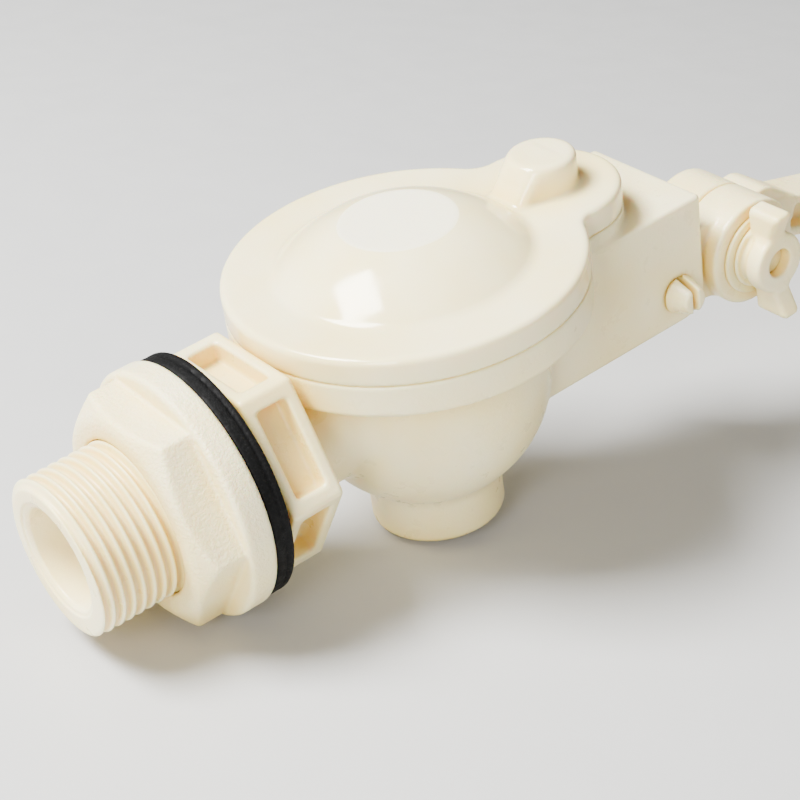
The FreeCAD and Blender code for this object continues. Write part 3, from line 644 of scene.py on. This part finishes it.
def shell_field(x, y, z, side):
    """Half of the float: side is 1 for the upper shell and -1 for the lower one."""
    u, w = turned(x, z, KNUCKLE, ARM_TILT)
    radius = np.hypot(u - FLOAT_X, y - ARM_MIDDLE)
    height = side * (w + FLOAT_DROP)
    joint_gap, bead_out, bead_half, groove_depth = 0.02, 1.5, 1.4, 0.5
    outer = meet(radius - FLOAT_R, height - FLOAT_HALF, edge=10.0)
    bead = meet(radius - FLOAT_R - bead_out, height - bead_half, edge=0.5)
    groove = meet(slab(radius, low=26.0, high=27.6), FLOAT_HALF - groove_depth - height, edge=0.3)
    solid = join(np.maximum(outer, joint_gap - height), np.maximum(bead, joint_gap - height), fillet=0.8)
    side_wall, end_wall = 2.0, 2.2
    inner = meet(radius - FLOAT_R + side_wall, height - FLOAT_HALF + end_wall, edge=8.0)
    return np.maximum(carve(solid, np.maximum(groove, -height), edge=0.3), -inner)


def upper_field(x, y, z):
    """Upper shell with the two lugs for the arm's tongue."""
    u, w = turned(x, z, KNUCKLE, ARM_TILT)
    v = np.abs(y - ARM_MIDDLE)
    radius = np.hypot(u - FLOAT_X, y - ARM_MIDDLE)
    rooted = 1.2
    lug = meet(slab(u, low=111.0, high=135.0), slab(w, low=-4.7, high=5.2), edge=1.2)
    lug = meet(lug, slab(v, low=2.2, high=5.4), edge=0.5)
    lug = np.maximum(lug, FLOAT_R - rooted - radius)
    field = join(shell_field(x, y, z, side=1), lug, fillet=1.5)
    return carve(field, np.hypot(u - SCREW_U, w) - SCREW_HOLE_R, edge=0.2)


def lower_field(x, y, z):
    return shell_field(x, y, z, side=-1)


# ---------------------------------------------------------------- pieces

def grown(node, extra=0.3):
    """A CAD node's box in mm, a little larger."""
    low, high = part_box(node)
    return [value / MM - extra for value in low], [value / MM + extra for value in high]


def make_pieces():
    """Every moulded piece in place of its CAD node; fine steps only where there is fine detail."""
    moulded("valve_moulding", body_field, low=(-40.5, -30.5, -0.5), high=(54.0, 30.5, 46.5), step=0.5,
            body="valve", nodes=["valve_bowl", "lever_housing"], finish=SATIN)
    moulded("inlet_thread", thread_field, low=(-71.0, -13.8, 15.0), high=(-39.9, 13.8, 43.4), step=0.28,
            body="valve", nodes=["inlet_tail"], finish=SATIN)
    rows = [
        ("lock_nut_piece", nut_field, "lock_nut", 0.45, "nut", GRAINED),
        ("gasket_piece", gasket_field, "tank_gasket", 0.4, "gasket", RUBBER),
        ("cap_piece", cap_field, "cap", 0.45, "valve", GLOSSY),
        ("lever_piece", lever_field, "lever", 0.45, "lever", SATIN),
        ("pivot_pin_piece", pin_field, "pivot_pin", 0.3, "valve", SATIN),
        ("knuckle_washer_piece", washer_field, "knuckle_washer", 0.25, "washer", SATIN),
        ("wing_nut_piece", wing_field, "wing_nut", 0.35, "wing", SATIN),
        ("float_arm_piece", arm_field, "float_arm", 0.5, "arm", SATIN),
        ("float_upper_piece", upper_field, "float_upper", 0.65, "arm", SATIN),
        ("float_lower_piece", lower_field, "float_lower", 0.65, "arm", SATIN),
    ]
    for name, field, node, step, body, finish in rows:
        low, high = grown(node)
        moulded(name, field, low, high, step, body, [node], finish)


SHARP_ANGLE = 35


def finish_small_nodes():
    """Materials for the CAD nodes that show as they are."""
    finishes = {
        "diaphragm": RUBBER, "pilot_pad": RUBBER, "return_spring": STEEL, "float_screw": STEEL,
        "float_nut": STEEL, "pilot_nozzle": INNER, "diaphragm_plate": INNER, "valve_guide": INNER,
        "knuckle_bolt": SATIN,
    }
    for node, finish in finishes.items():
        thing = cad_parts[node]
        thing.data.materials.clear()
        thing.data.materials.append(finish)
        smooth_by_angle(thing)


def smooth_by_angle(thing):
    """Smooth shading with the sharp edges kept sharp."""
    smooth_faces(thing.data)
    thing.data.set_sharp_from_angle(angle=math.radians(SHARP_ANGLE))


# ---------------------------------------------------------------- floor, light and camera

FLOOR_SLOPE = math.radians(12.05)


def floor():
    """Pale table top: the valve lies on its spout, nut and float, so the table slopes in the row frame."""
    radius, corners, gap = 3.0, 96, 0.4
    turns = [2 * math.pi * corner / corners for corner in range(corners)]
    mesh = bpy.data.meshes.new("table_top")
    mesh.from_pydata([(radius * math.cos(turn), radius * math.sin(turn), 0) for turn in turns], [],
                     [list(range(corners))])
    table = bpy.data.objects.new("table_top", mesh)
    bpy.context.scene.collection.objects.link(table)
    touch = Matrix.Translation((-SPOUT_R * MM, 0, -gap * MM))
    table.matrix_world = touch @ Matrix.Rotation(FLOOR_SLOPE, 4, "Y")
    made = Finish("pale_table")
    cloud = made.noise(scale=4.0, detail=3.0)
    made.link(made.blend(cloud, first=(0.50, 0.50, 0.49), second=(0.54, 0.54, 0.53)), "Base Color")
    worn = made.noise(scale=90.0, detail=4.0)
    made.link(made.remap(worn, low=0.3, high=0.7, to_low=0.42, to_high=0.55), "Roughness")
    grain, grain_depth = made.noise(scale=900.0, detail=3.0), 0.00002
    made.bump((grain, grain_depth))
    seen_from_above(made)
    mesh.materials.append(made.material)


def seen_from_above(made):
    """Lets a view from under the table see through it."""
    nodes, links = made.tree.nodes, made.tree.links
    clear = nodes.new("ShaderNodeBsdfTransparent")
    mix = nodes.new("ShaderNodeMixShader")
    links.new(nodes.new("ShaderNodeNewGeometry").outputs["Backfacing"], mix.inputs["Fac"])
    links.new(made.shader.outputs["BSDF"], mix.inputs[1])
    links.new(clear.outputs["BSDF"], mix.inputs[2])
    links.new(mix.outputs["Shader"], nodes["Material Output"].inputs["Surface"])


def area_light(name, place, size, power):
    """A rectangular lamp at that place in metres, turned towards the valve."""
    data = bpy.data.lights.new(name, "AREA")
    data.shape = "RECTANGLE"
    data.size, data.size_y = size
    data.energy = power
    lamp = bpy.data.objects.new(name, data)
    bpy.context.scene.collection.objects.link(lamp)
    turn = (LIT_POINT - Vector(place)).to_track_quat("-Z", "Y").to_matrix().to_4x4()
    lamp.matrix_world = Matrix.Translation(place) @ turn


LIT_POINT = Vector((0.0, 0.0, 0.03))
WORLD_COLOUR, WORLD_STRENGTH = (1.0, 0.98, 0.95), 0.16


def studio():
    """Dim surroundings, one large key light high above, and two weaker fills at the camera's side."""
    world = bpy.data.worlds.new("studio")
    world.use_nodes = True
    around = world.node_tree.nodes["Background"]
    around.inputs["Color"].default_value = (*WORLD_COLOUR, 1)
    around.inputs["Strength"].default_value = WORLD_STRENGTH
    bpy.context.scene.world = world
    area_light("key", place=(-0.30, 0.20, 0.75), size=(0.40, 0.30), power=33.0)
    area_light("front", place=(-0.62, -0.42, 0.42), size=(0.22, 0.42), power=7.0)
    area_light("side", place=(0.45, -0.60, 0.30), size=(0.20, 0.40), power=1.5)


def camera():
    """Camera a third of a metre away, up and to the left of the front, and rolled a little."""
    place = Vector((-163.2, -236.7, 217.8)) * MM
    target = Vector((-5.2, -0.7, 24.3)) * MM
    roll = math.radians(8.73)
    data = bpy.data.cameras.new("camera")
    data.sensor_width = 36.0
    data.lens = 94.0
    data.clip_start = 0.01
    eye = bpy.data.objects.new("camera", data)
    bpy.context.scene.collection.objects.link(eye)
    turn = (target - place).to_track_quat("-Z", "Y").to_matrix().to_4x4()
    eye.matrix_world = Matrix.Translation(place) @ turn @ Matrix.Rotation(-roll, 4, "Z")
    bpy.context.scene.camera = eye


make_pieces()
finish_small_nodes()
floor()
studio()
camera()
